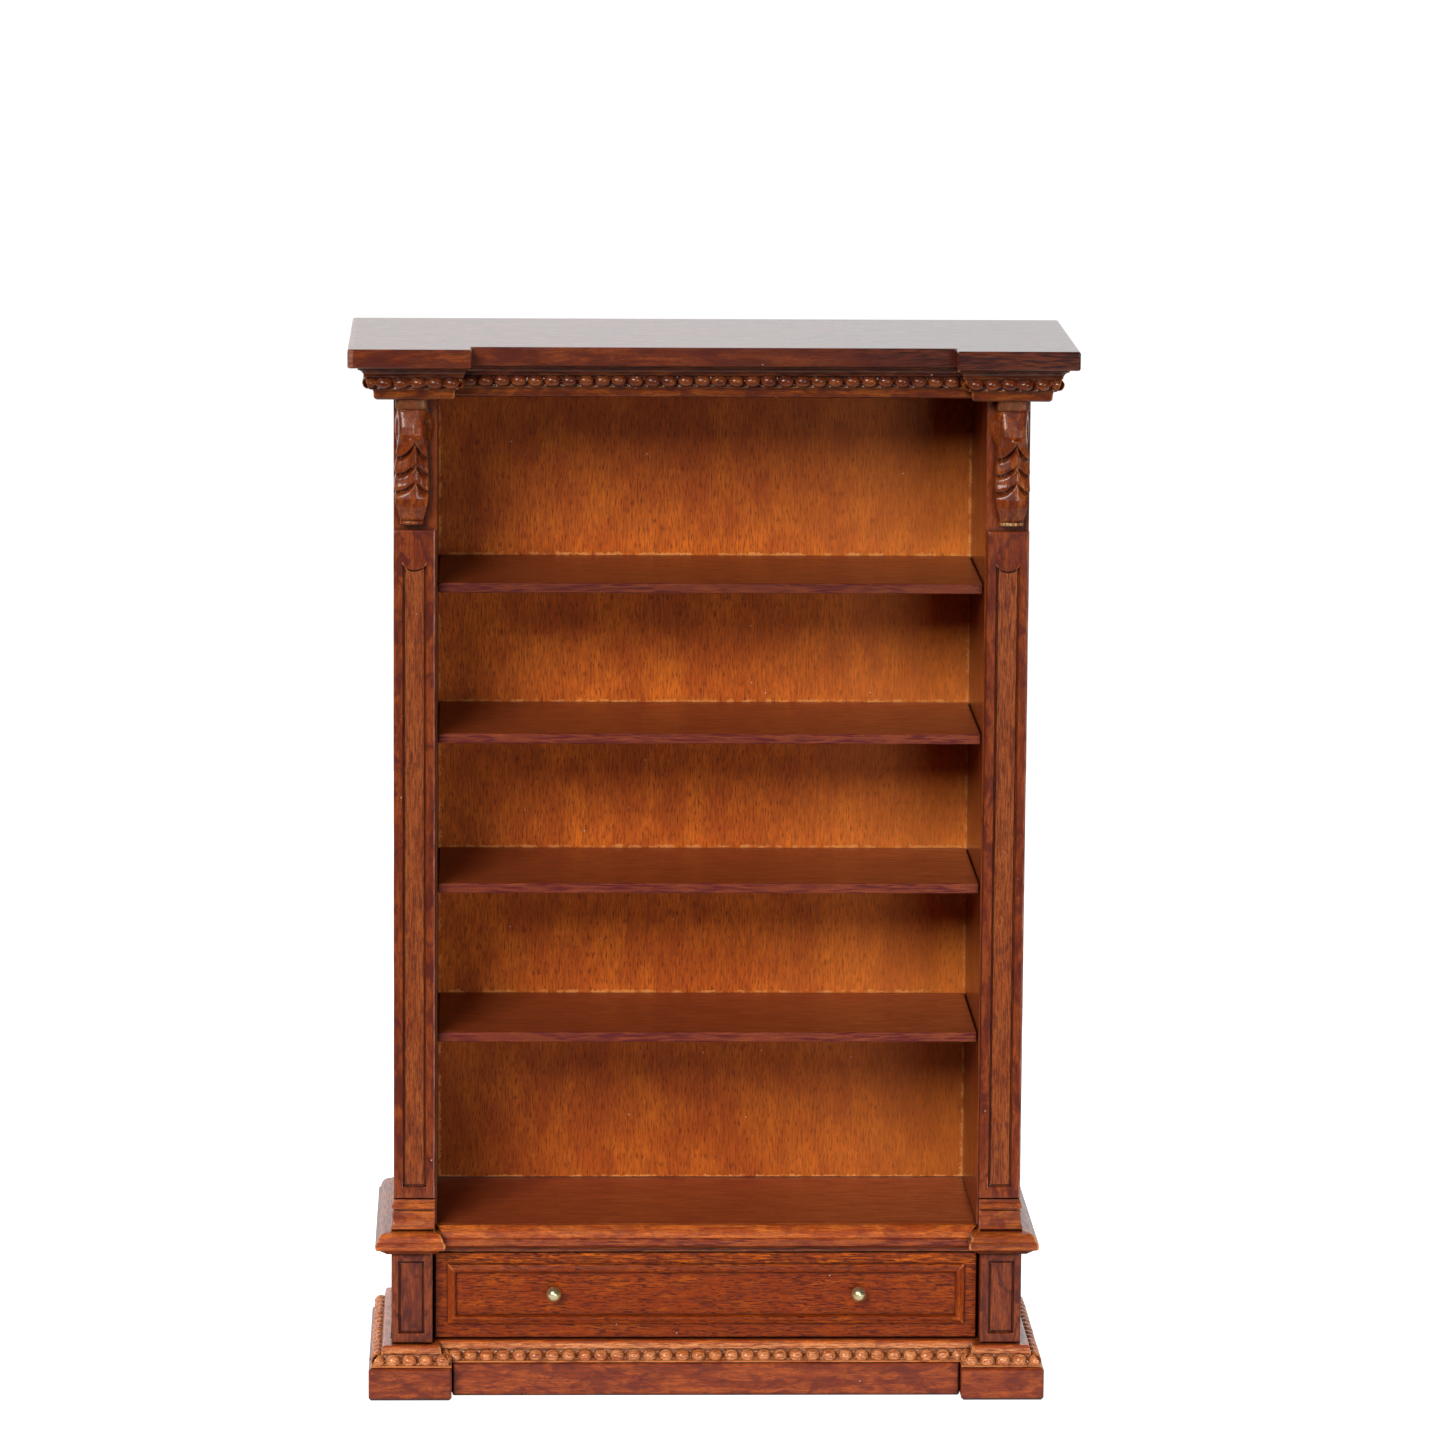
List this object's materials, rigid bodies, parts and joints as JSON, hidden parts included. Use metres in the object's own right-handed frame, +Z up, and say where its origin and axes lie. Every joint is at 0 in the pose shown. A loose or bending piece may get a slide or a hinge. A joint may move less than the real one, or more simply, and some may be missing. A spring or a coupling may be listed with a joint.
{
  "type": "miniature bookcase",
  "caption": "Open dolls' house bookcase with fixed shelves between panelled pilasters, a pearl-moulded cornice and plinth, and a shallow pull-out drawer with brass knobs.",
  "frame": {"origin": "on the ground under the middle of the outline, so the plinth stands on z = 0", "axes": "+Z up; -Y is the front with the drawer, +Y the flat back; +X is the right-hand side seen from the front"},
  "size_m": [0.1214, 0.0482, 0.18],
  "materials": {
    "moulding_wood": "honey-brown stain under satin lacquer, dark in the hollows",
    "case_wood": "red-brown stain under satin lacquer, mottled",
    "shelf_wood": "brown stain under satin lacquer",
    "back_ply": "orange-brown stained thin sheet with fine upright flecks",
    "drawer_wood": "red-brown stain under satin lacquer, grain running across",
    "drawer_box_wood": "thinly stained plain wood",
    "knob_brass": "polished"
  },
  "bodies": {
    "case": {"cornice_centre": "moulding_wood", "deck_nosing": "moulding_wood", "base_centre": "moulding_wood", "cornice_side_left": "moulding_wood", "cornice_front_left": "moulding_wood", "cornice_return_left": "moulding_wood", "waist_side_left": "moulding_wood", "waist_front_left": "moulding_wood", "waist_return_left": "moulding_wood", "base_side_left": "moulding_wood", "base_front_left": "moulding_wood", "base_return_left": "moulding_wood", "pilaster_foot_left": "moulding_wood", "bracket_left": "moulding_wood", "cornice_side_right": "moulding_wood", "cornice_front_right": "moulding_wood", "cornice_return_right": "moulding_wood", "waist_side_right": "moulding_wood", "waist_front_right": "moulding_wood", "waist_return_right": "moulding_wood", "base_side_right": "moulding_wood", "base_front_right": "moulding_wood", "base_return_right": "moulding_wood", "pilaster_foot_right": "moulding_wood", "bracket_right": "moulding_wood", "top_board": "case_wood", "plinth_centre": "case_wood", "upper_side_left": "case_wood", "lower_side_left": "case_wood", "pilaster_left": "case_wood", "pedestal_left": "case_wood", "plinth_block_left": "case_wood", "plinth_side_left": "case_wood", "upper_side_right": "case_wood", "lower_side_right": "case_wood", "pilaster_right": "case_wood", "pedestal_right": "case_wood", "plinth_block_right": "case_wood", "plinth_side_right": "case_wood", "shelf_1": "shelf_wood", "shelf_2": "shelf_wood", "shelf_3": "shelf_wood", "shelf_4": "shelf_wood", "deck_shelf": "shelf_wood", "case_floor": "shelf_wood", "upper_back": "back_ply", "lower_back": "back_ply"},
    "drawer": {"drawer_front": "drawer_wood", "drawer_side_left": "drawer_box_wood", "drawer_side_right": "drawer_box_wood", "drawer_back": "drawer_box_wood", "drawer_bottom": "drawer_box_wood", "drawer_frame_top": "moulding_wood", "drawer_frame_bottom": "moulding_wood", "drawer_frame_left": "moulding_wood", "drawer_frame_right": "moulding_wood", "knob_left": "knob_brass", "knob_right": "knob_brass"}
  },
  "joints": [
    {"name": "drawer_slide", "type": "slide", "parent": "case", "child": "drawer", "axis": [0, -1, 0], "range_m": [0, 0.024]}
  ]
}
